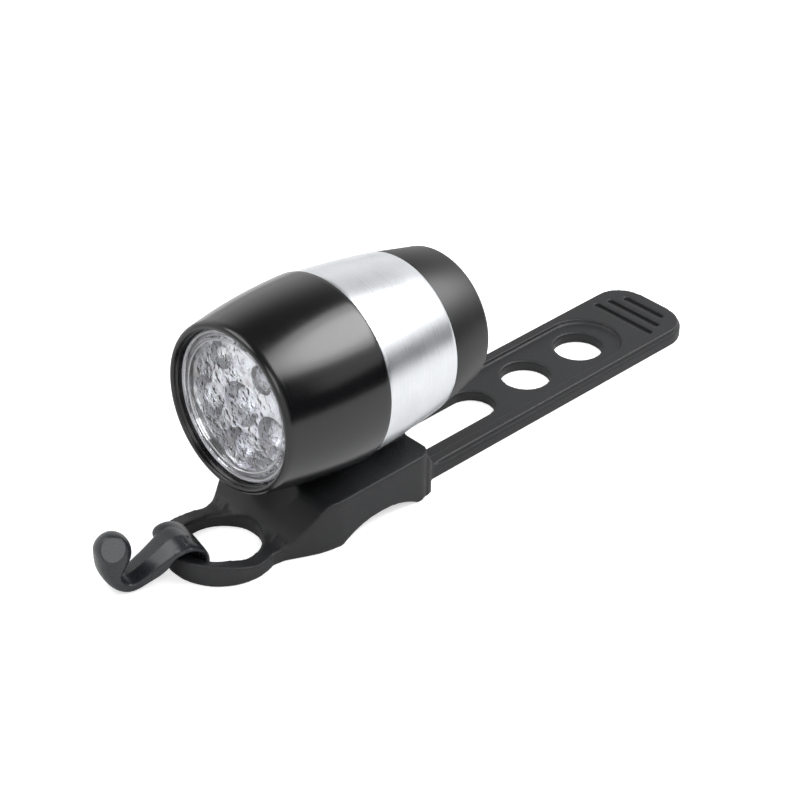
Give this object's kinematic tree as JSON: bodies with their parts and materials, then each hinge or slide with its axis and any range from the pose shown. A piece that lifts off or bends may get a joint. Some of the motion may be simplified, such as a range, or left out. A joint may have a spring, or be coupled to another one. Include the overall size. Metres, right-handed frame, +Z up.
{
  "type": "bicycle headlight",
  "caption": "Small turned-aluminium barrel bicycle headlight on a rubber saddle, with a holed strap that wraps a handlebar and closes on a plastic hook.",
  "frame": {"origin": "crown of the handlebar seat under the saddle, midway across its width", "axes": "+X along the beam, +Y to the left, +Z up from the handlebar to the lamp; the lamp's own axis lies in the XZ plane and rises 3 degrees to the front"},
  "size_m": [0.1293, 0.033, 0.0425],
  "materials": {
    "gloss_black_anodised": "gloss black anodised, turned",
    "satin_black_anodised": "satin black anodised",
    "bare_aluminium": "turned, fine grain round the axis",
    "clear_plastic": "clear, polished",
    "plated_reflector": "bright plated",
    "diode_resin": "clear resin",
    "circuit_board": "solder mask",
    "contact_brass": "bright",
    "carrier_plastic": "moulded",
    "cell_steel": "nickel plated",
    "seal_rubber": "smooth",
    "switch_plastic": "moulded",
    "button_rubber": "matt",
    "screw_steel": "zinc plated",
    "strap_rubber": "matt charcoal",
    "hook_plastic": "moulded, half matt"
  },
  "bodies": {
    "base": {"strap_saddle": "strap_rubber", "saddle_screw": "screw_steel", "screw_washer": "screw_steel", "body_band": "bare_aluminium", "o_ring": "seal_rubber", "rear_shell": "satin_black_anodised", "switch_board": "circuit_board", "switch_body": "switch_plastic", "boot_ring": "carrier_plastic"},
    "carrier": {"battery_carrier": "carrier_plastic", "cell_front": "cell_steel", "cell_rear": "cell_steel"},
    "head": {"front_shell": "gloss_black_anodised", "lens_gasket": "seal_rubber", "lens": "clear_plastic", "reflector": "plated_reflector", "led_1": "diode_resin", "led_2": "diode_resin", "led_3": "diode_resin", "led_4": "diode_resin", "led_5": "diode_resin", "led_6": "diode_resin", "led_board": "circuit_board", "board_contact": "contact_brass"},
    "button": {"push_button": "button_rubber"},
    "tongue": {"strap_tongue": "strap_rubber"},
    "hook": {"hook": "hook_plastic"}
  },
  "joints": [
    {"name": "carrier_slide", "type": "slide", "parent": "base", "child": "carrier", "axis": [0.9986, 0, 0.0523], "range_m": [0, 0.004]},
    {"name": "head_turn", "type": "hinge", "parent": "carrier", "child": "head", "pos_m": [0, 0, 0.02319], "axis": [0.9986, 0, 0.0523], "range_deg": [0, 1440]},
    {"name": "button_press", "type": "slide", "parent": "base", "child": "button", "axis": [0.9986, 0, 0.0523], "range_m": [0, 0.0012], "stiffness_N_per_m": 1500},
    {"name": "tongue_bend", "type": "hinge", "parent": "base", "child": "tongue", "pos_m": [-0.0185, 0, -0.0013], "axis": [0, -1, 0], "range_deg": [-20, 95], "stiffness_Nm_per_rad": 0.02},
    {"name": "hook_swing", "type": "hinge", "parent": "base", "child": "hook", "pos_m": [0.03219, -0.00184, -0.0005], "axis": [0.225, 0.9744, 0], "range_deg": [-75, 95]}
  ],
  "couplings": [
    {"joint": "carrier_slide", "follows": "head_turn", "m_per_rad": 0.00015915}
  ]
}
